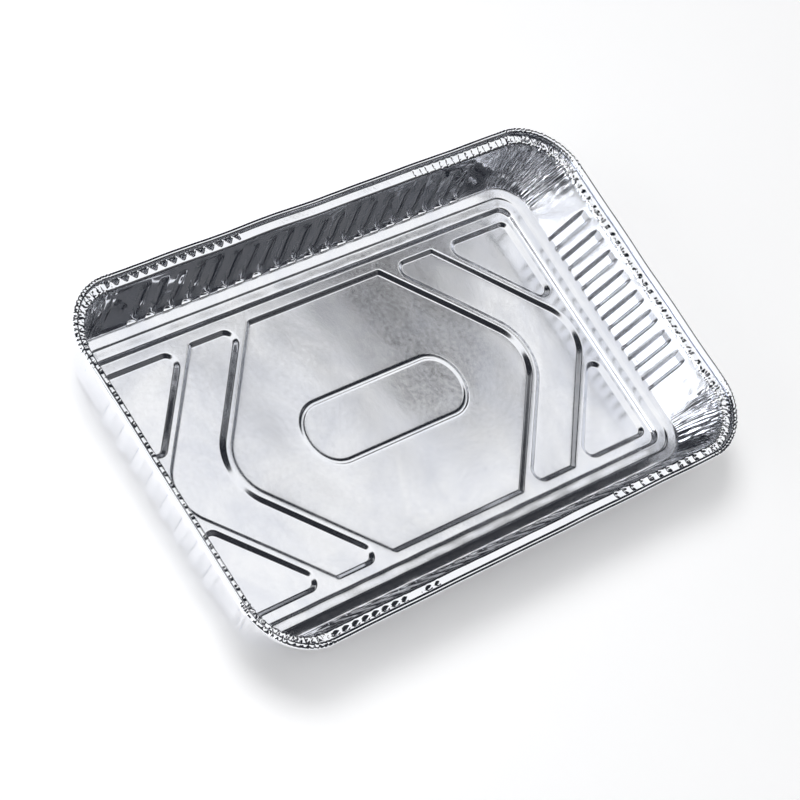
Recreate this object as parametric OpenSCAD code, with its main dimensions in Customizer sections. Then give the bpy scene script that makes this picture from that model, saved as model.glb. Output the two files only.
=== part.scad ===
// Shallow oblong drip pan pressed from one sheet of thin foil.
// Millimetres, +Z up, the pan stands on its floor panels at z = 0.

/* [Pan] */
// Length over the rim
pan_len = 347; // [300:1:420]
// Width over the rim
pan_wid = 205.5; // [160:0.5:280]
// Height of the top of the rim above the ground
pan_h = 41; // [28:0.5:60]
// Corner radius over the rim
corner_r = 34.8; // [33:0.1:50]
// Thickness of the sheet
foil_t = 0.12; // [0.1:0.01:0.4]

/* [Floor panels] */
// Height of the ridges above the recessed panels
ridge_h = 2; // [1:0.1:3]
// Width of the slope round every panel, seen from above
slope_w = 2.2; // [1.4:0.1:3]
// Ridge between two panels, from mid slope to mid slope
ridge_w = 5; // [4:0.1:8]
// Flat margin between the panels and the ledge at the ends
margin_x = 3.7; // [3:0.1:8]
// Flat margin between the panels and the ledge at the long sides
margin_y = 6.6; // [3:0.1:10]
// Angle of the slanting ridges against the length of the pan
ridge_a = 47.2; // [42:0.1:60]
// Gap between the points of the bands and the ends of the panel field
point_gap = 1.6; // [0:0.1:4]
// Width of the two bands beside the middle panel, along the front edge
band_w = 32.4; // [20:0.1:45]
// Radius of the points of the middle panel
point_r = 22; // [10:0.5:30]
// Radius of the slim corners of the bands and of the corner panels
slim_r = 5; // [2:0.5:8]
// Radius of the blunt corners
blunt_r = 1.6; // [1.3:0.1:4]

/* [Ledge] */
// Distance from the foot of the wall to the outer edge of the rim, seen from above
wall_in = 15.8; // [12:0.1:16.5]
// Width of the ledge between the floor and the wall
ledge_w = 12.4; // [8:0.1:12.8]
// Height of the first riser
riser_h = 3; // [1:0.1:4]
// Height of the second small riser
step_h = 1; // [0.4:0.1:2]
// Width of a riser, seen from above
riser_w = 1.2; // [0.8:0.1:2]
// Distance of the second riser from the wall
step_in = 5.2; // [3:0.1:7]

/* [Wall flutes] */
// Spacing of the flutes on the end walls
end_pitch = 12.9; // [9:0.1:16]
// Spacing of the flutes on the long walls
side_pitch = 11.9; // [9:0.1:16]
// Plain wall kept between the last flute and the corner
flute_clear = 14; // [6:0.5:40]
// Share of the spacing that is pressed outward
flute_share = 0.5; // [0.35:0.01:0.65]
// Depth of the flutes of the end walls
flute_d = 1.1; // [0.4:0.1:2]
// Depth of the flutes of the long walls at their foot
shelf_d = 2; // [0.8:0.1:2.6]
// Depth of the flutes of the long walls at their top
fade_d = 0.9; // [0.4:0.1:2]
// Width of the slope at each side of a flute
flute_s = 1.3; // [0.6:0.1:2]
// Wall left plain below the flutes of the end walls
flute_end = 1.6; // [1:0.1:5]
// Wall left plain above all flutes
flute_top = 3; // [2:0.1:6]
// Length of the run-out of a flute
flute_run = 4.5; // [1:0.1:7]
// Wall left plain below the flutes of the long walls
foot_gap = 0.8; // [0.7:0.1:3]
// Rise of the small shelf at the foot of the flutes of the long walls
foot_run = 0.7; // [0.5:0.1:4]

/* [Corner pleats] */
// Pleats in each corner of the wall and of the rim
pleats = 12; // [6:2:14]
// Depth of the pleats at the top of the wall
pleat_d = 0.9; // [0.2:0.1:1.6]

/* [Rim] */
// Width of the rim from the wall to its outer edge
rim_w = 7.4; // [6:0.1:10]
// Height of the rolled edge above the flat part of the rim
rim_rise = 3.2; // [2.2:0.1:4.5]
// Diameter of the rolled edge
roll_d = 2.6; // [2:0.1:4]
// Height of the crimps in the flat part of the rim
crimp_h = 0.7; // [0.2:0.1:1.2]
// Depth of the scallops where the rim meets the wall
scallop = 0.6; // [0:0.1:1]

/* [Plaque] */
// Length of the blank plaque outline in the middle panel
plaque_len = 108; // [60:1:120]
// Width of the plaque outline
plaque_wid = 34; // [20:1:60]
// Height of the raised outline
plaque_h = 0.6; // [0.3:0.1:1]
// Width of the raised outline
plaque_line = 2.6; // [2:0.1:4]

/* [Hidden] */
core_x = pan_len / 2 - corner_r;
core_y = pan_wid / 2 - corner_r;
wall_z = ridge_h + riser_h + step_h + 0.2;
fold_z = pan_h - rim_rise;
base_r = corner_r - wall_in;
top_r = corner_r - rim_w;
foot_r = base_r - 0.3 - ledge_w;
field_x = core_x + foot_r - margin_x;
field_y = core_y + foot_r - margin_y;
mid_point = field_y / tan(ridge_a);
gap_x = ridge_w / sin(ridge_a);
point_cut = point_r * (1 / sin(ridge_a) - 1);
mid_edge = max(5, field_x - point_gap + point_cut - gap_x - band_w - mid_point);
end_flutes = max(1, floor(2 * (core_y - flute_clear) / end_pitch));
side_flutes = max(1, floor(2 * (core_x - flute_clear) / side_pitch));

function lerp(a, b, t) = a + (b - a) * t;

// Radius of the wall at height z, measured from the core rectangle
function wall_r(z) = lerp(base_r, top_r, (z - wall_z) / (fold_z - wall_z));

// Points along one straight side: place, flute mark, crimp mark, detail level
function side_marks(n, pitch) = [
    for (i = [0 : n - 1])
        let (c = (i - (n - 1) / 2) * pitch, w = pitch * flute_share)
            each [
                [c - w / 2 - flute_s / 2, 0, 0, 1],
                [c - w / 2 + flute_s / 2, 1, 1, 2],
                [c + w / 2 - flute_s / 2, 1, 0, 2],
                [c + w / 2 + flute_s / 2, 0, 1, 1]
            ]
];

// Points round a corner: angle, pleat mark, detail level
function corner_marks() = [
    for (k = [0 : 2 * pleats])
        [90 * k / (2 * pleats), k % 2, k == 2 * pleats || k % 4 == 0 ? 0 : k % 2 == 0 ? 1 : 2]
];

// One side and the corner after it, turned by a quarter turn q times:
// core point, outward direction, flute, crimp and pleat marks, detail level, long side or not
function side_and_corner(q) =
    let (
        long = q % 2,
        c = long == 1 ? [core_y, core_x] : [core_x, core_y],
        marks = long == 1 ? side_marks(side_flutes, side_pitch) : side_marks(end_flutes, end_pitch),
        ct = [cos(90 * q), sin(90 * q)],
        spin = function (v) [v[0] * ct[0] - v[1] * ct[1], v[0] * ct[1] + v[1] * ct[0]]
    ) [
        each [for (m = marks) [spin([c[0], m[0]]), spin([1, 0]), m[1], m[2], 0, m[3], long]],
        each [
            for (m = corner_marks())
                [spin(c), spin([cos(m[0]), sin(m[0])]), 0, m[1], m[1], 3 + m[2],
                 lerp(long, 1 - long, m[0] / 90)]
        ]
    ];

way = [for (q = [0 : 3]) each side_and_corner(q)];

// Section of the sheet from the floor margin to the rolled edge:
// radius and height at the ends, the same at the long sides,
// flute depth at the ends and at the long sides, pleat share, crimp share,
// detail of the sides, detail of the corners
function section() =
    let (
        e1 = wall_z + flute_end,
        e2 = e1 + flute_run,
        s1 = wall_z + foot_gap,
        s2 = s1 + foot_run,
        z4 = fold_z - flute_top,
        z3 = z4 - flute_run,
        rr = roll_d / 2 - foil_t,
        rc = corner_r - roll_d / 2,
        zc = pan_h - roll_d / 2,
        flat = function (r, z, c) [r, z, r, z, 0, 0, 0, 0, 0, c]
    ) [
        flat(foot_r - 2, ridge_h, 0),
        flat(foot_r, ridge_h, 0),
        flat(foot_r + riser_w, ridge_h + riser_h, 0),
        flat(base_r - step_in - riser_w, ridge_h + riser_h + 0.1, 0),
        flat(base_r - step_in, ridge_h + riser_h + step_h, 0),
        flat(base_r - 0.6, wall_z - 0.2, 0),
        flat(wall_r(wall_z + 0.6), wall_z + 0.6, 1),
        [wall_r(e1), e1, wall_r(s1), s1, 0, 0, 0.25, 0, 1, 2],
        [wall_r(e2), e2, wall_r(s2), s2, flute_d, shelf_d, 0.4, 0, 2, 2],
        [wall_r(z3), z3, wall_r(z3), z3, flute_d, fade_d, 0.9, 0, 2, 2],
        [wall_r(z4), z4, wall_r(z4), z4, 0, 0, 1, 0, 1, 2],
        [top_r, fold_z - 0.3, top_r, fold_z - 0.3, 0, 0, 1, 1, 2, 2],
        [top_r + 1.4, fold_z, top_r + 1.4, fold_z, 0, 0, 0, 0, 2, 2],
        flat(rc - rr - 0.5, fold_z + 0.1, 1),
        flat(rc - rr, zc, 1),
        flat(rc - rr * 0.6, zc + rr * 0.8, 1),
        flat(rc + rr * 0.4, zc + rr, 1),
        flat(rc + rr, zc, 1),
        flat(rc + rr * 0.2, zc - rr, 1),
        flat(rc - rr * 0.4, zc - rr * 0.5, 1)
    ];

// Shift across the sheet at station k of a section, toward the inside of the pan,
// that keeps the sheet equally thick on both sides of the bend
function across(s, k, o) =
    let (
        up = function (i) let (d = [s[i + 1][o] - s[i][o], s[i + 1][o + 1] - s[i][o + 1]])
            [-d[1], d[0]] / norm(d),
        n1 = up(max(k - 1, 0)),
        n2 = up(min(k, len(s) - 2))
    ) (n1 + n2) / (1 + n1 * n2);

// One point of the sheet: way round w, station k of the section s, face 0 outer or 1 inner
function sheet_point(w, s, k, face) =
    let (
        p = s[k],
        q = lerp(across(s, k, 0), across(s, k, 2), w[6]) * foil_t * face,
        crimp = w[3] * p[7],
        r = lerp(p[0], p[2], w[6]) + q[0] + w[2] * lerp(p[4], p[5], w[6])
            - w[4] * p[6] * pleat_d - crimp * scallop,
        z = lerp(p[1], p[3], w[6]) + q[1] + (p[7] == 1 ? crimp * crimp_h : 0)
    ) [w[0][0] + w[1][0] * r, w[0][1] + w[1][1] * r, z];

// Way points that station p uses, by its detail of the sides and of the corners
function used(p) = [
    for (i = [0 : len(way) - 1])
        if (way[i][5] >= 3 ? way[i][5] - 3 <= p[9] : way[i][5] <= p[8]) i
];

// Place of point i of a ring on the way round, which counts on after a full round of n
function round_at(ring, i, n) = i < len(ring) ? ring[i] : ring[i - len(ring)] + n;

// Whether ring ra steps on next: the ring whose next point comes first does,
// then the one whose last point came first, and where both agree, tie decides
function ra_steps(ra, rb, i, j, n, tie) =
    i == len(ra) ? false
    : j == len(rb) ? true
    : round_at(ra, i + 1, n) != round_at(rb, j + 1, n) ? round_at(ra, i + 1, n) < round_at(rb, j + 1, n)
    : round_at(ra, i, n) != round_at(rb, j, n) ? round_at(ra, i, n) < round_at(rb, j, n)
    : tie;

// Triangles between two rings that may use different points of the way round.
// The two faces of the sheet take the opposite tie, so that their triangles match.
function stitch(ra, rb, oa, ob, n, tie) =
    let (
        na = len(ra),
        nb = len(rb)
    ) [
        for (
            i = 0, j = 0, go = 0, one = ra_steps(ra, rb, 0, 0, n, tie);
            go < na + nb;
            i = i + (one ? 1 : 0),
            j = j + (one ? 0 : 1),
            one = ra_steps(ra, rb, i, j, n, tie),
            go = go + 1
        )
            one
                ? [oa + i % na, ob + j % nb, oa + (i + 1) % na]
                : [oa + i % na, ob + j % nb, ob + (j + 1) % nb]
    ];

function sum_to(v, n, i = 0, s = 0) = i >= n ? s : sum_to(v, n, i + 1, s + v[i]);

// The pressed sheet outside the panels: one closed ring of sheet
module shell() {
    s = section();
    k_max = len(s) - 1;
    order = concat([for (k = [0 : k_max]) [k, 0]], [for (k = [k_max : -1 : 0]) [k, 1]]);
    rings = [for (o = order) used(s[o[0]])];
    sizes = [for (r = rings) len(r)];
    offsets = [for (k = [0 : len(rings) - 1]) sum_to(sizes, k)];
    points = [
        for (k = [0 : len(rings) - 1])
            for (i = rings[k])
                sheet_point(way[i], s, order[k][0], order[k][1])
    ];
    faces = [
        for (k = [0 : len(rings) - 1])
            let (m = (k + 1) % len(rings))
                each stitch(rings[k], rings[m], offsets[k], offsets[m], len(way), k > k_max)
    ];
    polyhedron(points = points, faces = faces, convexity = 10);
}

// Corner of an outline: arc with radius r that touches both edges, grown outward by g
function arc_points(a, b, c, r, g, turn) =
    let (
        u = (a - b) / norm(a - b),
        v = (c - b) / norm(c - b),
        half = acos(u * v) / 2,
        o = b + (u + v) / norm(u + v) * (r / sin(half)),
        rg = turn > 0 ? r + g : r - g,
        nu = turn * [u[1], -u[0]] * -1,
        a0 = atan2((b + u * (r / tan(half)) - o)[1], (b + u * (r / tan(half)) - o)[0]),
        a1 = atan2((b + v * (r / tan(half)) - o)[1], (b + v * (r / tan(half)) - o)[0]),
        da = let (x = a1 - a0) x > 180 ? x - 360 : x < -180 ? x + 360 : x,
        steps = max(2, ceil(abs(da) / (r > 10 ? 13 : 20)))
    ) [for (i = [0 : steps]) o + rg * [cos(a0 + da * i / steps), sin(a0 + da * i / steps)]];

// Outline of a panel: corners with radii, counter clockwise, grown outward by g
function outline(corners, g) = [
    let (n = len(corners))
        for (i = [0 : n - 1])
            let (
                a = corners[(i + n - 1) % n],
                b = corners[i],
                c = corners[(i + 1) % n],
                pa = [a[0], a[1]],
                pb = [b[0], b[1]],
                pc = [c[0], c[1]],
                turn = sign((pb - pa)[0] * (pc - pb)[1] - (pb - pa)[1] * (pc - pb)[0])
            ) each arc_points(pa, pb, pc, b[2], g, turn)
];

// Solid with a slope between outlines at rising heights
module pad(outlines, heights) {
    n = len(outlines[0]);
    k = len(outlines);
    points = [for (i = [0 : k - 1]) each [for (p = outlines[i]) [p[0], p[1], heights[i]]]];
    sides = [
        for (i = [0 : k - 2])
            for (j = [0 : n - 1])
                let (a = i * n + j, b = i * n + (j + 1) % n)
                    each [[a, a + n, b + n], [a, b + n, b]]
    ];
    faces = concat(
        sides,
        [[for (j = [0 : n - 1]) j]],
        [[for (j = [n - 1 : -1 : 0]) (k - 1) * n + j]]
    );
    polyhedron(points = points, faces = faces, convexity = 6);
}

// Corners of the middle panel at mid slope
function middle_corners() = [
    [-mid_edge, -field_y, blunt_r],
    [mid_edge, -field_y, blunt_r],
    [mid_edge + mid_point, 0, point_r],
    [mid_edge, field_y, blunt_r],
    [-mid_edge, field_y, blunt_r],
    [-mid_edge - mid_point, 0, point_r]
];

// Corners of the right band at mid slope
function band_corners() =
    let (x0 = mid_edge + gap_x, x1 = x0 + band_w) [
        [x0, -field_y, slim_r],
        [x1, -field_y, blunt_r],
        [x1 + mid_point, 0, point_r],
        [x1, field_y, blunt_r],
        [x0, field_y, slim_r],
        [x0 + mid_point, 0, point_r + ridge_w]
    ];

// Corners of the corner panel at the right and back
function corner_corners() =
    let (
        x0 = mid_edge + 2 * gap_x + band_w,
        t = (field_x - x0) / mid_point,
        y0 = field_y * (1 - t)
    ) [
        [x0, field_y, slim_r],
        [field_x, y0, slim_r],
        [field_x, field_y, slim_r * 0.8]
    ];

// All panels as solids that widen from height low to height high and go on to height over
module floor_panels(low, high, over) {
    module one(c) {
        pad([outline(c, -slope_w / 2), outline(c, slope_w / 2), outline(c, slope_w / 2)],
            [low, high, over]);
    }
    hull() one(middle_corners());
    for (side = [0, 180]) {
        rotate([0, 0, side]) one(band_corners());
        rotate([0, 0, side]) hull() one(corner_corners());
        rotate([0, 0, side]) mirror([0, 1, 0]) hull() one(corner_corners());
    }
}

// Raised outline of the plaque, w wide at height low and narrower at height high
module plaque_ring(low, high, base) {
    r = plaque_wid / 2 - 0.5;
    x = plaque_len / 2;
    y = plaque_wid / 2;
    c = [[-x, -y, r], [x, -y, r], [x, y, r], [-x, y, r]];
    side = plaque_line * 0.3;
    wide = function (z) plaque_line / 2 - side * (z - base) / plaque_h;
    difference() {
        pad([outline(c, wide(low)), outline(c, wide(high))], [low, high]);
        pad([outline(c, -wide(low - 1)), outline(c, -wide(high + 1))], [low - 1, high + 1]);
    }
}

module floor_sheet() {
    x = core_x + foot_r - 0.8;
    y = core_y + foot_r - 0.8;
    r = foot_r - 0.8;
    frame = [[-x, -y, r], [x, -y, r], [x, y, r], [-x, y, r]];
    difference() {
        union() {
            difference() {
                union() {
                    pad([outline(frame, 0), outline(frame, 0)], [ridge_h, ridge_h + foil_t]);
                    floor_panels(0, ridge_h, ridge_h + foil_t / 2);
                }
                floor_panels(foil_t, ridge_h + foil_t, ridge_h + 1);
            }
            plaque_ring(foil_t / 2, foil_t + plaque_h, foil_t);
        }
        plaque_ring(-0.1, plaque_h, 0);
    }
}

module drip_pan() {
    color([0.78, 0.79, 0.82]) {
        union() {
            floor_sheet();
            shell();
        }
    }
}

drip_pan();
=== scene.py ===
from math import radians

import bpy
import numpy as np
from mathutils import Matrix, Vector
from mathutils.geometry import delaunay_2d_cdt


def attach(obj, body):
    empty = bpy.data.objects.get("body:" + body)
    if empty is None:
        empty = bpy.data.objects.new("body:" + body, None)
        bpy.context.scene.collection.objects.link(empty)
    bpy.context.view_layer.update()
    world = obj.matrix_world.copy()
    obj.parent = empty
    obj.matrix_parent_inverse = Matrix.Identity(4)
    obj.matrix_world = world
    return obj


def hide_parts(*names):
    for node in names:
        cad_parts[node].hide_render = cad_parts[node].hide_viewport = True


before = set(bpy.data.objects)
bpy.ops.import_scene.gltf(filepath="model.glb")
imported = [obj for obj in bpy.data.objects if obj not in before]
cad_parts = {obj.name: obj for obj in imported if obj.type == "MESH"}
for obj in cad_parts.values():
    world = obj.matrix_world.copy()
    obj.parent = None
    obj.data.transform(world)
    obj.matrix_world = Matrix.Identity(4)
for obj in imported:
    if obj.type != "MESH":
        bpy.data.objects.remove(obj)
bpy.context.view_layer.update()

# Everything below is worked out in millimetres and put into the meshes in metres.

# Main sizes of the pan, the same as in the part's own source
pan = {
    "coreX": 138.7,        # half length of the rectangle that the corner arcs turn about
    "coreY": 67.95,
    "thickness": 0.12,
    "panelRise": 2.0,      # ridges above the recessed panels
    "footRadius": 6.3,     # inner edge of the ledge, from the core rectangle
    "wallFoot": (18.75, 6.65),  # distance from the core rectangle, height
    "wallTop": (26.77, 35.3),
    "fieldX": 141.3,       # panel field at mid slope
    "fieldY": 67.65,
    "lengthRadius": 30,    # distance from the core at which lengths round the pan are measured
    "cornerArc": 47.1,     # length of a corner there
}


# 0 below low, 1 above high, and the cubic 3t^2 - 2t^3 of the way between.
def smooth(low, high, x):
    t = np.clip((x - low) / (high - low), 0, 1)
    return t * t * (3 - 2 * t)


# Sum of cosine waves of seeded random phase, with a whole number of waves in length around, wave mm
# apart on average, and changing over tall mm upward; slant leans them all.
def ripple(around, up, length, wave, tall, count, seed, slant=0.0):
    dice = np.random.default_rng(seed)
    total = np.zeros(np.broadcast(around, up).shape)
    for turns, lift, phase in zip(
            np.round(length / wave * dice.uniform(0.6, 1.5, count)),
            dice.normal(0, 1, count) / tall, dice.uniform(0, 2 * np.pi, count)):
        total += np.cos(2 * np.pi * (turns * (around + slant * up) / length + lift * up) + phase)
    return total / np.sqrt(count / 2)


# Sum of ripples, one for each row of a table: size, wave, tall, count, seed and slant.
def ripples(around, up, length, table):
    return sum(size * ripple(around, up, length, *rest) for size, *rest in table)


# Sum of plane cosine waves in seeded random directions, about wave mm long.
def plainWaves(x, y, wave, count, seed):
    dice = np.random.default_rng(seed)
    total = np.zeros(np.broadcast(x, y).shape)
    for angle, size, phase in zip(dice.uniform(0, np.pi, count), dice.uniform(0.6, 1.6, count),
                                  dice.uniform(0, 2 * np.pi, count)):
        total += np.cos(2 * np.pi * (x * np.cos(angle) + y * np.sin(angle)) / (wave * size) + phase)
    return total / np.sqrt(count / 2)


handled = {
    "waves": [(0.014, 34, 7, 3), (0.07, 85, 5, 4)],     # height, length, number and seed
    "bulge": 0.65,         # height of the floor's bulge, its middle and its reach
    "bulgeMiddle": (30, 6),
    "bulgeReach": (96, 74),
}


# Height that handling has given the whole sheet, the same for every piece, so that the pieces keep
# meeting: long low waves, and a bulge of the floor, which is (1 - a^2 - b^2)^1.5, where a and b are
# the distances from its middle as shares of its reach.
def handling(x, y):
    a = (x - handled["bulgeMiddle"][0]) / handled["bulgeReach"][0]
    b = (y - handled["bulgeMiddle"][1]) / handled["bulgeReach"][1]
    waves = sum(size * plainWaves(x, y, *rest) for size, *rest in handled["waves"])
    return waves + handled["bulge"] * np.clip(1 - a ** 2 - b ** 2, 0, 1) ** 1.5


# A profile line whose corners are rounded by parabolas as long as their radius, with points at most
# gap apart on its straights.
def roundedLine(points, radii, bend=5, gap=1.6):
    points = np.array(points, float)
    line = [points[:1]]
    for before, here, after, radius in zip(points[:-2], points[1:-1], points[2:], radii):
        back, onward = np.linalg.norm(before - here), np.linalg.norm(after - here)
        reach = min(radius, back * 0.49, onward * 0.49)     # bends never meet
        first = here + (before - here) / back * reach
        last = here + (after - here) / onward * reach
        t = np.linspace(0, 1, bend)[:, None]
        line.append((1 - t) ** 2 * first + 2 * t * (1 - t) * here + t ** 2 * last)
    line.append(points[-1:])
    line = np.concatenate(line)
    parts = []
    for start, end in zip(line[:-1], line[1:]):
        pieces = max(1, int(np.ceil(np.linalg.norm(end - start) / gap)))
        parts.append(start + (end - start) * np.arange(pieces)[:, None] / pieces)
    return np.concatenate(parts + [line[-1:]])


# Evenly spaced places from one end of a side to just before the other.
def evenPlaces(reach, gap):
    return np.linspace(-reach, reach, int(2 * reach / gap) + 1)[:-1]


# Places along a fluted side: close together over the slopes of each flute, wider between.
def flutePlaces(reach, count, pitch, gap):
    near = np.array(wallShape["flutePlaces"])
    near = np.concatenate([-near[:0:-1], near])
    middles = (np.arange(count) - (count - 1) / 2) * pitch
    between = middles[:-1] + pitch / 2
    fluted = np.sort(np.concatenate([(middles[:, None] + near).ravel(), between]))
    plain = np.linspace(fluted[-1], reach, int((reach - fluted[-1]) / gap) + 2)[1:]
    return np.concatenate([-plain[::-1], fluted, plain[:-1]])


# The way round the pan, anticlockwise from the front of the right end: the core rectangle's side
# and then a quarter turn at its corner, four times. Each point has its core point, its outward
# direction, its distance from the middle of its side, its distance from the nearest corner turn,
# the number of its side and its length along the rim.
def wayRound(endPlaces, longPlaces, cornerSteps):
    core, out, place, inward, side = [], [], [], [], []
    for q in range(4):
        t = (endPlaces, longPlaces)[q % 2]
        reach, across = (pan["coreY"], pan["coreX"])[::(1, -1)[q % 2]]
        turned = np.array([[1, 0], [0, 1], [-1, 0], [0, -1]])[[q, (q + 1) % 4]]
        core.append(across * turned[0] + t[:, None] * turned[1])
        out.append(np.broadcast_to(turned[0], (len(t), 2)))
        place.append(t)
        inward.append(reach - np.abs(t))
        a = np.linspace(0, np.pi / 2, cornerSteps + 1)[:-1, None]
        core.append(np.broadcast_to(across * turned[0] + reach * turned[1], (cornerSteps, 2)))
        out.append(np.cos(a) * turned[0] + np.sin(a) * turned[1])
        place.append(reach + pan["lengthRadius"] * a[:, 0])
        inward.append(np.zeros(cornerSteps))
        side.append(np.full(len(t) + cornerSteps, q))
    core, out = np.concatenate(core), np.concatenate(out).astype(float)
    rim = core + pan["lengthRadius"] * out
    step = np.linalg.norm(np.roll(rim, -1, 0) - rim, axis=1)
    return {
        "core": core, "out": out, "place": np.concatenate(place),
        "inward": np.concatenate(inward), "side": np.concatenate(side),
        "length": np.concatenate([[0], np.cumsum(step)[:-1]]), "round": step.sum(),
    }


# A mesh object in the scene, sharp where two of its faces meet at more than 62 degrees.
def putMesh(name, points, quads, tris):
    mesh = bpy.data.meshes.new(name)
    mesh.vertices.add(len(points))
    mesh.vertices.foreach_set("co", (points / 1000).astype(np.float32).ravel())
    corners = np.concatenate([quads.ravel(), tris.ravel()])
    starts = np.concatenate([np.arange(len(quads)) * 4, quads.size + np.arange(len(tris)) * 3])
    mesh.loops.add(len(corners))
    mesh.loops.foreach_set("vertex_index", corners.astype(np.int32))
    mesh.polygons.add(len(starts))
    mesh.polygons.foreach_set("loop_start", starts.astype(np.int32))
    mesh.update(calc_edges=True)
    mesh.validate()
    mesh.polygons.foreach_set("use_smooth", np.ones(len(mesh.polygons), bool))
    mesh.set_sharp_from_angle(angle=radians(62))
    piece = bpy.data.objects.new(name, mesh)
    bpy.context.scene.collection.objects.link(piece)
    return piece


# The under face and, one sheet thickness along its normals, the face toward the inside of the pan,
# joined along their open edges into one closed thin sheet.
def closedSheet(name, under, quads, tris, firstEdge, lastEdge):
    normals = np.zeros_like(under)
    for faces in (quads, tris):
        if len(faces):
            a, b, c = under[faces[:, 0]], under[faces[:, 1]], under[faces[:, 2]]
            d = under[faces[:, -1]]
            turned = np.cross(c - a, d - b) if faces.shape[1] == 4 else np.cross(b - a, c - a)
            for k in range(faces.shape[1]):
                np.add.at(normals, faces[:, k], turned)
    normals /= np.linalg.norm(normals, axis=1, keepdims=True)
    n = len(under)
    points = np.concatenate([under, under + normals * pan["thickness"]])
    strips = []
    for edge, sign in ((firstEdge, 1), (lastEdge, -1)):
        if edge is not None:
            here, there = (edge, np.roll(edge, -1))[::sign]
            strips.append(np.stack([here, here + n, there + n, there], 1))
    quads = np.concatenate([quads + n, quads[:, ::-1]] + strips)
    tris = np.concatenate([tris + n, tris[:, ::-1]])
    return putMesh(name, points, quads, tris)


# A closed sheet from whole arrays: one row for each station of the section, one column for each
# point of the way round. A point is core + out * radius, at its height.
def ringGrid(name, radius, height, way):
    radius, height = np.broadcast_arrays(radius, height)
    rows, columns = radius.shape
    flat = way["core"][None] + way["out"][None] * radius[..., None]
    points = np.dstack([flat, height + handling(flat[..., 0], flat[..., 1])]).reshape(-1, 3)
    index = np.arange(rows * columns).reshape(rows, columns)
    onward = np.roll(index, -1, 1)
    quads = np.stack([index[:-1], index[1:], onward[1:], onward[:-1]], -1).reshape(-1, 4)
    return closedSheet(name, points, quads, np.zeros((0, 3), int), index[0], index[-1])


floorPanels = {
    "ridge": 5.0,          # mid slope to mid slope
    "slope": 2.2,          # width of a slope seen from above
    "softness": 0.42,      # how round its two edges are
    "angle": 47.2,         # of the slanting ridges
    "bandWidth": 32.4,
    "pointGap": 1.6,
    "pointRadius": 22.0,
    "slimRadius": 5.0,
    "bluntRadius": 2.2,
    "squareShare": 0.8,    # radius of a square corner as a share of slimRadius
    "plaque": (108.0, 34.0),
    "plaqueBlunt": 0.4,    # by how much the radius of its ends is less than half its width
    "plaqueLine": 2.6,
    "plaqueRise": 0.4,
    "plaqueSlope": 0.9,
    "plaqueSlopeIn": 0.3,  # from the edge of the line in to the middle of the slope
    "plaqueSoftness": 0.25,
    # places of the rows of points across a slope, and across the line of the plaque
    "slopeRows": [-2.0, -1.6, -1.3, -1.05, -0.75, -0.35, 0.35, 0.75, 1.05, 1.3, 1.6, 2.05],
    "lineRows": [-2.3, -1.7, -1.3, -1.0, -0.7, -0.3, 0.3, 0.7, 1.0, 1.3, 1.7, 2.3],
    "pointSpacing": 1.5,
    "fill": 3.2,           # spacing of the points between the outlines
    "fillReach": (144, 73),
    "slopeClear": (-3.0, 2.4),  # these points keep clear of a slope by this much on either side
    "lineClear": (-3.2, 3.2),
    "clearSpacing": 2.5,
    # lift of each panel's middle and its slope toward +X and +Y: middle panel, right band, left
    # band, corner panels back right, front left, front right and back left
    "lie": [(0, 0, 0), (0.5, -0.009, 0), (0.1, 0.003, 0), (0.3, -0.007, 0),
            (0.15, 0.006, -0.004), (0.3, -0.008, 0), (0.15, 0.004, 0.006)],
}


# Outline of a panel grown by grow: each corner an arc that touches both of its edges, with
# straights between, as points about spacing apart.
def panelOutline(corners, grow, spacing):
    corners = np.array(corners, float)
    places, radii = corners[:, :2], corners[:, 2]
    pieces = []
    for before, here, after, radius in zip(
            np.roll(places, 1, 0), places, np.roll(places, -1, 0), radii):
        u = (before - here) / np.linalg.norm(before - here)
        v = (after - here) / np.linalg.norm(after - here)
        turn = np.sign(np.cross(here - before, after - here))
        half = np.arccos(u @ v) / 2
        centre = here + (u + v) / np.linalg.norm(u + v) * radius / np.sin(half)
        first = here + u * radius / np.tan(half) - centre
        last = here + v * radius / np.tan(half) - centre
        a0 = np.arctan2(first[1], first[0])
        sweep = (np.arctan2(last[1], last[0]) - a0 + np.pi) % (2 * np.pi) - np.pi
        grown = radius + turn * grow
        steps = max(5, int(np.ceil(abs(sweep) * radius / spacing)))
        a = a0 + sweep * np.arange(steps + 1) / steps
        pieces.append(centre + grown * np.stack([np.cos(a), np.sin(a)], 1))
    whole = []
    for piece, following in zip(pieces, pieces[1:] + pieces[:1]):
        whole.append(piece)
        gap = np.linalg.norm(following[0] - piece[-1])
        steps = max(1, int(np.ceil(gap / (spacing * 1.6))))
        share = (np.arange(1, steps) / steps)[:, None]
        whole.append(piece[-1] + (following[0] - piece[-1]) * share)
    return np.concatenate(whole)


# Whether each point is inside an outline: its ray to the right crosses it an odd number of times.
def insideOutline(points, outline):
    a, b = outline, np.roll(outline, -1, 0)
    x, y = points[:, :1], points[:, 1:]
    crossing = (a[:, 1] > y) != (b[:, 1] > y)
    rise = np.where(b[:, 1] == a[:, 1], 1e-9, b[:, 1] - a[:, 1])        # never 0
    meeting = a[:, 0] + (y - a[:, 1]) * (b[:, 0] - a[:, 0]) / rise
    return np.sum(crossing & (x < meeting), 1) % 2 == 1


# Height of a slope at distance g outside its middle: a straight slope of that width between two
# levels, each end eased by x/2 + sqrt(x^2 + softness^2)/2.
def ramp(g, width, rise, softness):
    ease = lambda x: (x + np.sqrt(x * x + softness * softness)) / 2
    return rise * (ease(g + width / 2) - ease(g - width / 2)) / width


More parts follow.
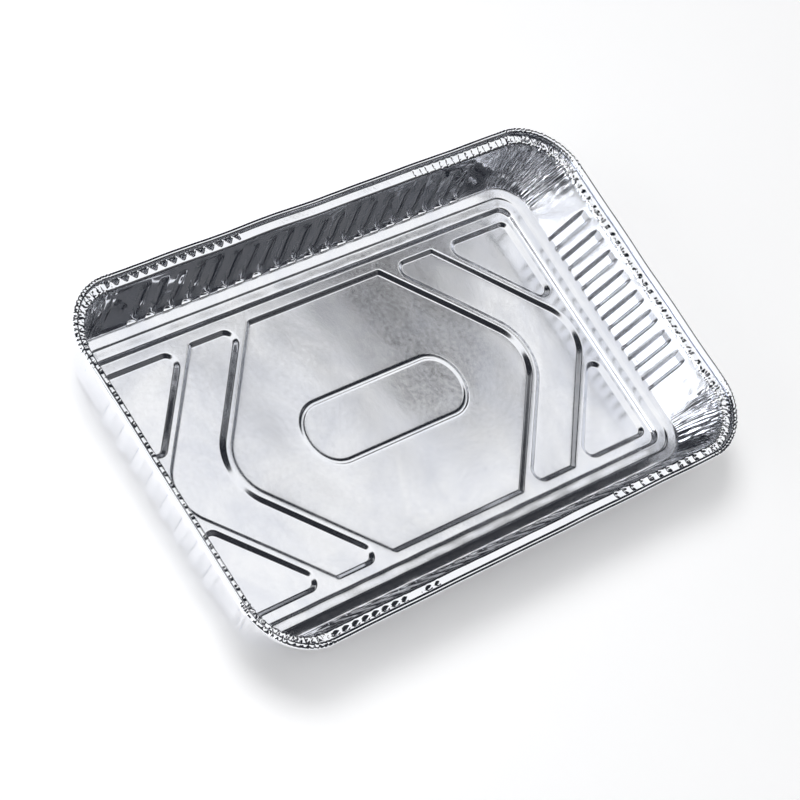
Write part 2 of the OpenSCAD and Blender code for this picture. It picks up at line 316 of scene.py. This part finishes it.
# Flat panels and ridges joined by slopes: rows of outlines at growing distance g from the middle of
# each slope, each at the height ramp(g), and plain points between them.
def makeFloor(way):
    f = floorPanels
    fieldX, fieldY = pan["fieldX"], pan["fieldY"]
    lean = np.tan(radians(f["angle"]))
    point = fieldY / lean
    gapX = f["ridge"] / np.sin(radians(f["angle"]))
    cut = f["pointRadius"] * (1 / np.sin(radians(f["angle"])) - 1)
    edge = fieldX - f["pointGap"] + cut - gapX - f["bandWidth"] - point
    blunt, slim, tip = f["bluntRadius"], f["slimRadius"], f["pointRadius"]
    x0, x1 = edge + gapX, edge + gapX + f["bandWidth"]
    x2 = x1 + gapX
    middle = [(-edge, -fieldY, blunt), (edge, -fieldY, blunt), (edge + point, 0, tip),
              (edge, fieldY, blunt), (-edge, fieldY, blunt), (-edge - point, 0, tip)]
    band = [(x0, -fieldY, slim), (x1, -fieldY, blunt), (x1 + point, 0, tip), (x1, fieldY, blunt),
            (x0, fieldY, slim), (x0 + point, 0, tip + f["ridge"])]
    three = [(x2, fieldY, slim), (fieldX, fieldY - (fieldX - x2) * lean, slim),
             (fieldX, fieldY, slim * f["squareShare"])]
    turned = lambda shape: [(-x, -y, r) for x, y, r in shape]
    mirrored = lambda shape: [(x, -y, r) for x, y, r in shape[::-1]]
    panels = [middle, band, turned(band), three, turned(three), mirrored(three),
              turned(mirrored(three))]

    loops, heights, keepOut, lies = [], [], [], []
    clear = lambda shape, reach: [panelOutline(shape, g, f["clearSpacing"]) for g in reach]
    for shape, (lift, overX, overY) in zip(panels, f["lie"]):
        middleX, middleY = np.mean([corner[:2] for corner in shape], 0)
        lies.append((lift - overX * middleX - overY * middleY, overX, overY))
        for g in f["slopeRows"]:
            loops.append(panelOutline(shape, g, f["pointSpacing"]))
            up = ramp(g, f["slope"], 1, f["softness"] / 2)
            low = lies[-1] @ np.stack([np.ones(len(loops[-1])), *loops[-1].T])
            heights.append(low + (pan["panelRise"] - low) * up)
        keepOut.append(clear(shape, f["slopeClear"]))
    plaqueX, plaqueY = f["plaque"][0] / 2, f["plaque"][1] / 2
    end = plaqueY - f["plaqueBlunt"]
    plaque = [(-plaqueX, -plaqueY, end), (plaqueX, -plaqueY, end), (plaqueX, plaqueY, end),
              (-plaqueX, plaqueY, end)]
    for g in f["lineRows"]:
        loops.append(panelOutline(plaque, g, f["pointSpacing"]))
        fall = ramp(abs(g) - f["plaqueLine"] / 2 + f["plaqueSlopeIn"], f["plaqueSlope"],
                    f["plaqueRise"], f["plaqueSoftness"])
        heights.append(np.full(len(loops[-1]), f["plaqueRise"] - fall))
    keepOut.append(clear(plaque, f["lineClear"]))
    loops.append(way["core"] + way["out"] * (pan["footRadius"] - 1))    # where the ledge begins
    heights.append(np.full(len(loops[-1]), pan["panelRise"]))

    step, (fillX, fillY) = f["fill"], f["fillReach"]
    x, y = np.meshgrid(np.arange(-fillX, fillX, step),
                       np.arange(-fillY, fillY, step * 0.866))      # rows of even triangles
    x = x + (np.arange(len(y)) % 2)[:, None] * step / 2
    fill = np.stack([x.ravel(), y.ravel()], 1)
    fill = fill[insideOutline(fill, way["core"] + way["out"] * (pan["footRadius"] - 2.2))]
    fillHeight = np.full(len(fill), pan["panelRise"])
    for (inner, outer), lie in zip(keepOut, lies + [None]):
        within = insideOutline(fill, inner)
        keep = within | ~insideOutline(fill, outer)
        if lie is not None:
            fillHeight = np.where(within, lie @ np.stack([np.ones(len(fill)), *fill.T]), fillHeight)
        fill, fillHeight = fill[keep], fillHeight[keep]
    flat = np.concatenate(loops + [fill])
    height = np.concatenate(heights + [fillHeight])
    starts = np.cumsum([0] + [len(loop) for loop in loops])
    ties = np.concatenate([np.stack([np.arange(a, b), np.roll(np.arange(a, b), -1)], 1)
                           for a, b in zip(starts[:-1], starts[1:])])
    found, _, triangles, origin, _, _ = delaunay_2d_cdt(
        [Vector(p) for p in flat.tolist()], ties.tolist(),
        [list(range(starts[-2], starts[-1]))], 1, 1e-5)
    origin = np.array([o[0] for o in origin])
    flat, height = np.array(found), height[origin]
    order = np.zeros(len(origin), int)      # from a point's old number to its new one
    order[origin] = np.arange(len(origin))
    tris = np.array([list(t) for t in triangles])
    under = np.concatenate([flat, (height + handling(flat[:, 0], flat[:, 1]))[:, None]], 1)
    rimRow = order[starts[-2]:starts[-1]]
    return closedSheet("floor", under, np.zeros((0, 4), int), tris, None, rimRow)


ledgeShape = {
    # section from the floor's margin to the foot of the wall: distance from the core, height
    "section": [(5.3, 2.0), (6.3, 2.0), (7.5, 4.85), (12.6, 4.98), (13.4, 5.6), (17.9, 6.55),
                (18.35, 6.3), (18.75, 6.65)],
    "rounding": [0.55, 0.7, 0.6, 0.6, 0.25, 0.2],
    "wrinkle": [(0.03, 26, 14, 8, 11)],     # rows as for ripples
    "wrinkleFrom": (5.3, 7),                # distances from the core over which it sets in
    "wrinkleTo": (16.5, 18.7),              # and dies out
    "fluteFrom": (17.7, 18.3),
}


# Profile of two small steps carried round the way, with slight waves along it; its outer edge
# follows the flutes that reach it.
def makeLedge(way):
    s = ledgeShape
    line = roundedLine(s["section"], s["rounding"], 4, 1.6)
    radius, height = line[:, :1], line[:, 1:]
    along, length = way["length"][None], way["round"]
    free = smooth(*s["wrinkleFrom"], radius) * (1 - smooth(*s["wrinkleTo"], radius))
    wave = free * ripples(along, radius, length, s["wrinkle"])
    out = fluteDepth(way, pan["wallFoot"][1] + 0 * along) * smooth(*s["fluteFrom"], radius)
    return ringGrid("ledge", radius + out, height + wave, way)


wallShape = {
    "endFlutes": (8, 12.9),       # number and spacing
    "sideFlutes": (20, 11.9),
    # places across half a flute, close together over its slope
    "flutePlaces": [0, 1.1, 1.9, 2.4, 2.75, 3.1, 3.45, 3.8, 4.4],
    "endHalf": 3.2,               # half width, at mid slope
    "endSlope": 2.0,              # width of a slope
    "sideHalf": 3.25,
    "endDepth": 1.6,
    "sideDepth": (2.0, 1.0),      # at the foot and higher up
    "endTop": (26.5, 34.5),       # heights over which a flute of an end wall runs out
    "sideReach": (6.72, 34.6),    # heights between which a flute of a long wall lies
    "sideFoot": 9,                # height over which it loses the depth of its foot
    "sideFade": 7,
    "shelf": 0.3,                 # rise of the shelf at its foot
    "heights": [6.65, 6.72, 6.77, 6.82, 6.87, 6.92, 6.97, 7.02, 7.06, 7.2, 7.7, 8.4, 9.3],
    "rows": 31,
    "gathers": 0.40,              # depth of the creases at the corners
    "gatherShares": (0.55, 0.65),   # of it at the back, and more toward the front
    "gatherFoot": 0.35,           # share of it at the foot
    # waves of the creases, of their fine creases, of the edge of the corners and of the whole wall,
    # with rows as for ripples
    "coarseWaves": [(1, 5.5, 120, 8, 21, 0.10), (0.8, 3.0, 75, 9, 22, 0.14)],
    "fineWaves": [(0.16, 1.9, 45, 9, 23, 0.12)],
    "cornerWaves": [(2.5, 6, 14, 6, 20)],
    "looseWaves": [(0.14, 55, 60, 6, 24), (0.035, 14, 26, 8, 25, 0.3)],
    "cornerEdge": (-1, 9),        # distances from the turn over which the creases die out
    "endLoose": 0.12,             # share of the loose waves on the flatter end walls
    "footKeep": (0, 0.06),        # shares of the height over which waves set in
    "topKeep": (0.93, 1),         # and die out
}


# How far the wall is pressed outward. End walls: a flat bottom between two eased slopes, from the
# foot to a run-out under the rim. Long walls: a half round of depth D sqrt(1 - (off/half)^2) that
# starts as a small level shelf at the foot and fades under the rim.
def fluteDepth(way, z):
    w = wallShape
    place, side = way["place"][None], way["side"][None]
    depth = np.zeros(np.broadcast(place, z).shape)
    for long, (count, pitch) in enumerate((w["endFlutes"], w["sideFlutes"])):
        near = np.clip(np.floor(place / pitch), -count // 2, count // 2 - 1) + 0.5
        off = np.abs(place - near * pitch)
        if long:
            low, high = w["sideReach"]
            foot, rest = w["sideDepth"]
            deep = rest + (foot - rest) * (1 - smooth(low, low + w["sideFoot"], z))
            body = smooth(low, low + w["shelf"], z) * (1 - smooth(high - w["sideFade"], high, z))
            shape = np.sqrt(np.clip(1 - (off / w["sideHalf"]) ** 2, 0, 1))
        else:
            deep = w["endDepth"]
            body = 1 - smooth(*w["endTop"], z)
            half, slope = w["endHalf"], w["endSlope"] / 2
            shape = 1 - smooth(half - slope, half + slope, off)
        depth = np.where(side % 2 == long, deep * shape * body, depth)
    return depth


# Depth of the creases that gather the sheet at the corners: sums of slanting waves, growing from
# the foot to the rim and deeper at the front than at the back.
def gathering(way, z, climb):
    w = wallShape
    along, length = way["length"][None], way["round"]
    inward = way["inward"][None] + ripples(along, z, length, w["cornerWaves"])
    corner = 1 - smooth(*w["cornerEdge"], inward)
    front = smooth(30, -30, way["core"][:, 1])[None]        # 0 at the back, 1 at the front
    back, more = w["gatherShares"]
    coarse = ripples(along, z, length, w["coarseWaves"])
    fine = ripples(along, z, length, w["fineWaves"])
    grown = w["gatherFoot"] + (1 - w["gatherFoot"]) * climb
    return corner * grown * (w["gathers"] * (back + more * front) * coarse + fine)


# Straight leaning wall: distance from the core grows evenly with height. Flutes press it outward,
# creases gather it at the corners, long waves loosen it.
def makeWall(way):
    w = wallShape
    (r0, z0), (r1, z1) = pan["wallFoot"], pan["wallTop"]
    low = np.array(w["heights"])
    high = np.linspace(low[-1], z1, w["rows"] - len(low) + 1)[1:]
    z = np.concatenate([low, high])[:, None]
    t = (z - z0) / (z1 - z0)
    along, length = way["length"][None], way["round"]
    ends = smooth(*w["footKeep"], t) * (1 - smooth(*w["topKeep"], t))
    free = (w["endLoose"] + (1 - w["endLoose"]) * (way["side"] % 2))[None]
    wave = free * ripples(along, z, length, w["looseWaves"])
    radius = r0 + (r1 - r0) * t + fluteDepth(way, z) - ends * gathering(way, z, t) + ends * wave
    return ringGrid("wall", radius, z + 0 * along, way)


rimShape = {
    "flange": [(26.77, 35.3), (27.3, 37.25), (28.1, 37.85), (32.6, 37.92)],
    "flangeRounding": [0.45, 0.6],
    # the sheet runs out under the roll, folds back above a narrow gap and curls round
    "curl": [(32.2, 37.5), (34.0, 37.75), (34.35, 38.3), (34.0, 38.75), (32.5, 38.8), (32.0, 39.3),
             (31.95, 40.3), (32.7, 41.0), (33.8, 41.0), (34.6, 40.65), (34.8, 39.9), (34.65, 39.2),
             (34.1, 38.98)],
    "curlRounding": [0.22, 0.22, 0.22, 0.3, 0.35, 0.6, 0.5, 0.5, 0.45, 0.45, 0.25],
    "middle": 29.5,        # of the flange, distance from the core
    "lean": 0.085,
    "swayWaves": [(0.14, 70, 1e6, 6, 34), (0.012, 19, 1e6, 8, 35)],     # rows as for ripples
    "swayOut": 0.6,        # how far the rim moves outward as it rises
    "foldHeights": (36.4, 37.6),    # where the top of the wall turns into the flange
    "swayHeights": (36, 37.5),
    "markHeights": (35.3, 35.9),    # marks and crumples set in over these heights
    "markEnd": (31.7, 32.3),        # and die out over these distances
    "foldShare": 0.7,      # of the depth of a mark where it reaches down the wall
    "crumple": (0.003, 0.035, 0.04),    # everywhere, more at the corners, more at the right end
    "crumpleCorner": 12,
    "crumpleRight": (28.6, 29.4),
    "crumpleWaves": [(1, 2.2, 3.5, 12, 33), (0.6, 1.5, 2.2, 12, 37)],
    "nip": (0.004, 0.10),  # everywhere, and more at the corners
    "nipCorner": 10,
    "nipHeights": (38.7, 39.5),
    "nipWaves": [(1, 2.3, 4, 10, 36)],
    # marks along each side, from the front of the right end anticlockwise: from, to, spacing,
    # half length along the rim, distance from the core, half width across, depth, unevenness;
    # those at the corners run from turn to turn
    "endRight": [(-68, 68, 4.6, 1.9, 28.2, 2.0, 0.9, 1), (-68, 68, 3.1, 1.1, 27.2, 1.2, 0.6, 1)],
    "back": [(68, 140, 4.8, 0.9, 29.4, 2.4, 1.0, 0.6)],
    "endLeft": [(-68, 68, 5.6, 1.3, 29.0, 1.9, 1.0, 0.8)],
    "front": [(60, 138, 6.8, 1.8, 29.4, 2.3, 1.3, 0.8)],
    "corner": [(0, 0, 3.4, 1.5, 29.6, 2.4, 0.7, 1), (0, 0, 2.6, 1.0, 28.0, 1.4, 0.4, 1)],
    # how far chance goes, for the place, half length, distance, half width, depth and slant
    "chance": (0.22, 0.32, 0.5, 0.22, 0.4, 0.4),
    # row of teeth by the roll at the left of the back: place of the first and last, spacing,
    # distances of their points and of their feet, half length and least half length, depth
    "teeth": (-138, -55, 6.1, 28.9, 31.8, 2.5, 0.2, 1.0),
    "toothFullness": 0.6,
    # grooves at the left of the front: from, to, spacing of their wide places, distance from the
    # core, least and greatest half width, slope
    "grooves": [(-140, -84, 6.6, 29.7, 0.35, 1.6, 0.24), (-78, -62, 6.6, 29.7, 0.25, 1.4, 0.24)],
    "grooveFade": 3,
    "grooveStep": 0.7,
}


# Every mark pressed into the flange: place on the way round, half length, distance from the
# core, half width, depth and slant. The spacing is uneven by seeded shares of itself.
def rimMarks(way):
    dice = np.random.default_rng(41)
    chance = np.array(rimShape["chance"])[:, None]
    marks = []
    for q, name in enumerate(("endRight", "back", "endLeft", "front")):
        on = np.flatnonzero(way["side"] == q)
        reach = (pan["coreY"], pan["coreX"])[q % 2]
        middle = way["length"][on[0]] + reach
        turn = way["length"][on[way["place"][on] >= reach][0]]
        turned = -1 if q in (1, 2) else 1       # the back and the left end run the other way
        rows = [(sorted((middle + turned * low, middle + turned * high)), *rest)
                for low, high, *rest in rimShape[name]]
        rows += [((turn, turn + pan["cornerArc"]), *rest) for _, _, *rest in rimShape["corner"]]
        for (start, end), gap, long, across, wide, deep, uneven in rows:
            count = max(1, int(round((end - start) / gap)))
            drawn = chance * (uneven * dice.uniform(-1, 1, (6, count)))
            marks.append(np.stack([
                start + (np.arange(count) + 0.5 + drawn[0]) * (end - start) / count,
                long * (1 + drawn[1]), across + drawn[2], wide * (1 + drawn[3]),
                deep * (1 + drawn[4]), drawn[5]]))
    return np.concatenate(marks, 1)


# Dents of the depth D (1 - |a|) (1 - |b|), where a and b are the distances along and across as
# shares of the half sizes; where two meet the deeper one counts. Teeth widen and deepen evenly
# from their points outward. Grooves fall evenly outward and end in a short step, and their half
# width goes between two sizes as a squared cosine.
def markDepth(way, radius):
    r = rimShape
    at, long, across, wide, deep, slant = rimMarks(way)
    total = np.zeros(np.broadcast(way["length"][None], radius).shape)
    for k in range(len(at)):
        a = way["length"][None] - at[k] - slant[k] * (radius - r["middle"])
        a = (a + way["round"] / 2) % way["round"] - way["round"] / 2
        b = (radius - across[k]) / wide[k]
        dent = np.clip(1 - np.abs(a / long[k]), 0, 1) * np.clip(1 - np.abs(b), 0, 1)
        total = np.maximum(total, deep[k] * dent)
    place, side = way["place"][None], way["side"][None]
    low, high, gap, tip, foot, half, least, deep = r["teeth"]
    back = -place       # the back runs the other way
    off = np.abs((back - low) - gap * np.round((back - low) / gap))
    share = np.clip((radius - tip) / (foot - tip), 0, 1)
    full = np.clip(1 - off / (half * share + least), 0, 1) ** r["toothFullness"]
    row = (side == 1) & (back > low - gap / 2) & (back < high + gap / 2) & (way["inward"][None] > 0)
    total = np.maximum(total, deep * share * full * row)
    for low, high, gap, across, narrow, wide, slope in r["grooves"]:
        half = narrow + (wide - narrow) * np.cos(np.pi * (place - low) / gap) ** 2
        fade = r["grooveFade"]
        ends = smooth(low, low + fade, place) * (1 - smooth(high - fade, high, place))
        half = half * ends * (side == 3)
        fall = slope * np.clip(radius - across + half, 0, 2 * half)
        step = 1 - smooth(across + half, across + half + r["grooveStep"], radius)
        total = np.maximum(total, fall * step)
    return total


# Slow sway of the rim, the same for the flange and the roll, and its lean: it rises outward at the
# back and falls outward at the front.
def sway(way, radius):
    r = rimShape
    slow = ripples(way["length"][None], 0, way["round"], r["swayWaves"])
    return slow + r["lean"] * (radius - r["middle"]) * way["out"][None, :, 1]


# Top of the wall, fold and flat flange: pressed marks, small crumples, and the creases that come up
# from the corners of the wall.
def makeFlange(way):
    r = rimShape
    line = roundedLine(r["flange"], r["flangeRounding"], 4, 0.5)
    radius, height = line[:, :1], line[:, 1:]
    along, length = way["length"][None], way["round"]
    flat = smooth(*r["foldHeights"], height)                # 0 on the wall, 1 on the flange
    free = smooth(*r["markHeights"], height) * (1 - smooth(*r["markEnd"], radius))
    corner = 1 - smooth(0, r["crumpleCorner"], way["inward"][None])
    right = ((way["side"] == 0) & (way["inward"] > 0))[None]
    right = right * (1 - smooth(*r["crumpleRight"], radius))
    plain, more, most = r["crumple"]
    crumple = ripples(along, radius + height, length, r["crumpleWaves"])
    rough = (plain + more * corner + most * right) * free * crumple
    depth = free * markDepth(way, radius)
    creases = free * gathering(way, height + 0 * along, 1.0)
    out = (1 - flat) * (rough - depth * r["foldShare"] - creases)
    loose = smooth(*r["swayHeights"], height)
    up = flat * (rough - depth) + loose * sway(way, radius)
    out = out + r["swayOut"] * loose * sway(way, r["middle"])
    return ringGrid("flange", radius + out, height + up, way)


# Rolled edge: the section above carried round the way, nipped together a little at the corners.
def makeRoll(way):
    r = rimShape
    line = roundedLine(r["curl"], r["curlRounding"], 2, 1.2)
    radius, height = line[:, :1], line[:, 1:]
    along, length = way["length"][None], way["round"]
    corner = 1 - smooth(0, r["nipCorner"], way["inward"][None])
    plain, more = r["nip"]
    waves = ripples(along, radius + height, length, r["nipWaves"])
    nip = smooth(*r["nipHeights"], height) * (plain + more * corner) * waves
    out = nip + r["swayOut"] * sway(way, r["middle"])
    return ringGrid("roll", radius + out, height + nip + sway(way, radius), way)


foilLook = {
    "floor": {"mottle": 0.5, "grain": 0.08, "creases": 0.05, "roughness": 0.155},
    "ledge": {"mottle": 0.4, "grain": 0.12, "creases": 0.08, "roughness": 0.18},
    "wall": {"mottle": 0.15, "grain": 0.05, "creases": 0.03, "roughness": 0.06, "calm": 0.13},
    "flange": {"mottle": 0.2, "grain": 0.2, "creases": 0.04, "roughness": 0.07},
    "roll": {"mottle": 0.2, "grain": 0.2, "creases": 0.04, "roughness": 0.07},
}
foilNature = {
    "bright": (0.915, 0.925, 0.95, 1),      # clear foil, and its cloudy patches
    "cloudy": (0.69, 0.72, 0.81, 1),
    "speckle": 0.12,       # roughness that fine specks add or take away
    "cloudDull": 0.06,     # roughness of a cloudy patch
    "grainHeight": 0.06,
    # the plain middle of an end wall, in metres: distances |x| and |y| over which it begins
    "calmX": (0.150, 0.154),
    "calmY": (0.075, 0.064),
}


def node(tree, kind, values=None, **settings):
    made = tree.nodes.new(kind)
    for key, value in settings.items():
        setattr(made, key, value)
    for key, value in (values or {}).items():
        made.inputs[key].default_value = value
    return made


# Output of a math node, each of whose inputs is a number or the output of another node.
def reckon(tree, operation, *given):
    made = node(tree, "ShaderNodeMath", operation=operation)
    for socket, value in zip(made.inputs, given):
        if isinstance(value, bpy.types.NodeSocket):
            tree.links.new(value, socket)
        else:
            socket.default_value = value
    return made.outputs[0]


# Output of a noise texture at the places given by where.
def noise(tree, where, **values):
    made = node(tree, "ShaderNodeTexNoise", values)
    tree.links.new(where, made.inputs["Vector"])
    return made.outputs["Fac"]


# A value brought from 0 to 1 between two others.
def between(tree, value, low, high, **settings):
    made = node(tree, "ShaderNodeMapRange", {"From Min": low, "From Max": high}, **settings)
    tree.links.new(value, made.inputs["Value"])
    return made.outputs["Result"]


# Colour, roughness and height of rolled foil on Object coordinates: cloudy patches of a faint blue
# cast, fine lines along the rolling direction, and soft creases. Calm makes the plain middles of
# the end walls duller than their corners.
def foilGroup():
    n = foilNature
    group = bpy.data.node_groups.new("rolledFoil", "ShaderNodeTree")
    for name in ("Mottle", "Grain", "Creases", "Roughness", "Calm"):
        group.interface.new_socket(name=name, in_out="INPUT", socket_type="NodeSocketFloat")
    group.interface.new_socket(name="Color", in_out="OUTPUT", socket_type="NodeSocketColor")
    group.interface.new_socket(name="Roughness", in_out="OUTPUT", socket_type="NodeSocketFloat")
    group.interface.new_socket(name="Height", in_out="OUTPUT", socket_type="NodeSocketFloat")
    link = group.links.new
    given = node(group, "NodeGroupInput").outputs
    out = node(group, "NodeGroupOutput").inputs
    where = node(group, "ShaderNodeTexCoord").outputs["Object"]

    cloud = noise(group, where, Scale=22.0, Detail=5.0, Roughness=0.62, Distortion=0.6)
    share = reckon(group, "MULTIPLY", between(group, cloud, 0.38, 0.68), given["Mottle"])
    tint = node(group, "ShaderNodeMix", {"A": n["bright"], "B": n["cloudy"]}, data_type="RGBA")
    link(share, tint.inputs["Factor"])
    link(tint.outputs["Result"], out["Color"])

    specks = noise(group, where, Scale=420.0, Detail=3.0, Roughness=0.6)
    specks = reckon(group, "SUBTRACT", specks, 0.5)
    rough = reckon(group, "MULTIPLY_ADD", specks, n["speckle"], given["Roughness"])
    rough = reckon(group, "MULTIPLY_ADD", share, n["cloudDull"], rough)
    apart = node(group, "ShaderNodeVectorMath", operation="ABSOLUTE")
    link(where, apart.inputs[0])
    axes = node(group, "ShaderNodeSeparateXYZ")
    link(apart.outputs["Vector"], axes.inputs[0])
    end = between(group, axes.outputs["X"], *n["calmX"], interpolation_type="SMOOTHSTEP")
    plain = between(group, axes.outputs["Y"], *n["calmY"], interpolation_type="SMOOTHSTEP")
    calm = reckon(group, "MULTIPLY", end, plain)
    link(reckon(group, "MULTIPLY_ADD", calm, given["Calm"], rough), out["Roughness"])

    stretch = node(group, "ShaderNodeMapping", {"Scale": (60.0, 2200.0, 900.0)})
    link(where, stretch.inputs["Vector"])
    lines = noise(group, stretch.outputs["Vector"], Scale=1.0, Detail=3.0, Roughness=0.7)
    fine = reckon(group, "MULTIPLY", given["Grain"], n["grainHeight"])
    folds = noise(group, where, Scale=190.0, Detail=2.0, Roughness=0.5, Distortion=0.4)
    folds = reckon(group, "ABSOLUTE", reckon(group, "SUBTRACT", folds, 0.5))
    folds = reckon(group, "MULTIPLY", folds, given["Creases"])
    link(reckon(group, "MULTIPLY_ADD", lines, fine, folds), out["Height"])
    return group


# The foil of one piece: the shared group with that piece's own values.
def foilMaterial(name, group):
    look = foilLook[name]
    material = bpy.data.materials.new(name + "Foil")
    material.use_nodes = True
    tree = material.node_tree
    shader = tree.nodes["Principled BSDF"]
    shader.inputs["Metallic"].default_value = 1.0
    foil = node(tree, "ShaderNodeGroup", node_tree=group)
    for socket in ("Mottle", "Grain", "Creases", "Roughness", "Calm"):
        foil.inputs[socket].default_value = look.get(socket.lower(), 0.0)
    tree.links.new(foil.outputs["Color"], shader.inputs["Base Color"])
    tree.links.new(foil.outputs["Roughness"], shader.inputs["Roughness"])
    bump = node(tree, "ShaderNodeBump", {"Strength": 0.5, "Distance": 0.0006})
    tree.links.new(foil.outputs["Height"], bump.inputs["Height"])
    tree.links.new(bump.outputs["Normal"], shader.inputs["Normal"])
    return material


evenWay = wayRound(evenPlaces(pan["coreY"], 0.75), evenPlaces(pan["coreX"], 0.75), 140)
fluteWay = wayRound(flutePlaces(pan["coreY"], *wallShape["endFlutes"], 1.3),
                    flutePlaces(pan["coreX"], *wallShape["sideFlutes"], 1.3), 116)
fineWay = wayRound(evenPlaces(pan["coreY"], 0.5), evenPlaces(pan["coreX"], 0.5), 170)
print("ways round:", *(len(way["place"]) for way in (evenWay, fluteWay, fineWay)), "points")
group = foilGroup()
pieces = {"floor": makeFloor(evenWay)}
print("floor: panels, ridges and plaque outline")
pieces["ledge"] = makeLedge(fluteWay)
print("ledge: two small steps")
pieces["wall"] = makeWall(fluteWay)
print("wall: flutes and corner creases")
pieces["flange"] = makeFlange(fineWay)
print("flange: crimps and pleats")
pieces["roll"] = makeRoll(evenWay)
print("roll: rolled edge")
for name, piece in pieces.items():
    piece.data.materials.append(foilMaterial(name, group))
    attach(piece, "root")
    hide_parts("drip_pan")
    print(" ", name, sum(len(p.vertices) - 2 for p in piece.data.polygons), "triangles")


studio = {
    "tableReach": 6000.0,
    "tableTop": -0.12,
    "tableColour": (0.92, 0.92, 0.925, 1),
    "tableGlow": 0.24,
    "worldColour": (0.020, 0.0215, 0.027, 1),
    "worldStrength": 1.0,
    # middle of each lamp, the point it looks at, its width and height in metres, its brightness
    "lamps": {
        "topBox": ((-1.96, 0.02, 2.4), (-1.96, 0.02, 0), 8.08, 1.86, 1.0),
        "fillBox": ((2.30, -0.20, 2.4), (2.30, -0.20, 0), 0.44, 1.42, 1.0),
        "endBox": ((2.925, 0.10, 2.4), (2.925, 0.10, 0), 0.81, 2.0, 1.1),
        "sideBox": ((-0.75, -2.4, 1.35), (0, 0, 0.1), 2.6, 1.0, 0.06),
        "backBox": ((0.55, 2.3, 1.75), (0.15, 0, 0.02), 1.4, 0.8, 0.45),
        "lowBox": ((1.82, -1.64, 1.36), (0, 0, 0), 1.3, 0.8, 0.10),
        "nearBox": ((-2.9, 0.62, 0.92), (0, 0, 0.02), 1.7, 1.7, 2.5),
        "keyBox": ((-0.8, 1.0, 2.1), (0, 0, 0), 1.1, 0.9, 9.6),
    },
    "shadowOnly": ["keyBox"],   # lights the table, and stays out of the foil's reflections
}


# Square of a plain pale colour that keeps the pan's shadow; the eye and shiny things see it a
# little brighter, as a studio table of lit glass.
def makeTable():
    across = np.linspace(-studio["tableReach"], studio["tableReach"], 3)
    x, y = np.meshgrid(across, across)
    points = np.stack([x.ravel(), y.ravel(), np.full(9, studio["tableTop"])], 1)
    index = np.arange(9).reshape(3, 3)
    quads = np.stack([index[:-1, :-1], index[:-1, 1:], index[1:, 1:], index[1:, :-1]], -1)
    quads = quads.reshape(-1, 4)
    table = putMesh("table", points, quads, np.zeros((0, 3), int))
    material = bpy.data.materials.new("palePaper")
    material.use_nodes = True
    tree = material.node_tree
    tree.nodes.clear()
    out = node(tree, "ShaderNodeOutputMaterial")
    paper = node(tree, "ShaderNodeBsdfDiffuse", {"Color": studio["tableColour"]})
    glow = node(tree, "ShaderNodeEmission", {"Color": (1, 1, 1, 1)})
    path = node(tree, "ShaderNodeLightPath")
    seen = reckon(tree, "ADD", path.outputs["Is Camera Ray"], path.outputs["Is Glossy Ray"])
    tree.links.new(reckon(tree, "MULTIPLY", seen, studio["tableGlow"]), glow.inputs["Strength"])
    both = node(tree, "ShaderNodeAddShader")
    tree.links.new(paper.outputs[0], both.inputs[0])
    tree.links.new(glow.outputs[0], both.inputs[1])
    tree.links.new(both.outputs[0], out.inputs["Surface"])
    table.data.materials.append(material)


# Plain grey surroundings and the lamps: a lamp of brightness 1 looks as bright as white paper.
def makeLight():
    world = bpy.data.worlds.new("studioGrey")
    bpy.context.scene.world = world
    world.use_nodes = True
    back = world.node_tree.nodes["Background"]
    back.inputs["Color"].default_value = studio["worldColour"]
    back.inputs["Strength"].default_value = studio["worldStrength"]
    for name, (place, aim, width, height, brightness) in studio["lamps"].items():
        lamp = bpy.data.lights.new(name, "AREA")
        lamp.shape = "RECTANGLE"
        lamp.size, lamp.size_y, lamp.energy = width, height, brightness * np.pi * width * height
        made = bpy.data.objects.new(name, lamp)
        made.visible_camera = False
        made.visible_glossy = name not in studio["shadowOnly"]
        made.matrix_world = Matrix.Translation(place) @ (
            Vector(aim) - Vector(place)).to_track_quat("-Z", "Y").to_matrix().to_4x4()
        bpy.context.scene.collection.objects.link(made)


# The photograph's viewpoint, found from the outlines of the pan in it.
def makeCamera():
    lens = bpy.data.cameras.new("viewCamera")
    lens.sensor_width = 36.0
    lens.lens = 147.326         # fitted to the photograph
    lens.clip_start, lens.clip_end = 0.05, 60
    camera = bpy.data.objects.new("viewCamera", lens)
    right = (0.6948668877, -0.5341470245, 0.4815048957)
    up = (0.2986740930, 0.8234355315, 0.4824393347)
    back = (-0.6541817748, -0.1914180810, 0.7317139631)
    place = (-1.06262896667, -0.31313266407, 1.20147063661)
    turn = Matrix((right, up, back)).transposed().to_4x4()
    camera.matrix_world = Matrix.Translation(place) @ turn
    bpy.context.scene.collection.objects.link(camera)
    bpy.context.scene.camera = camera


makeTable()
makeLight()
makeCamera()
bpy.context.scene.view_settings.view_transform = "Standard"
print("table, lamps and camera")
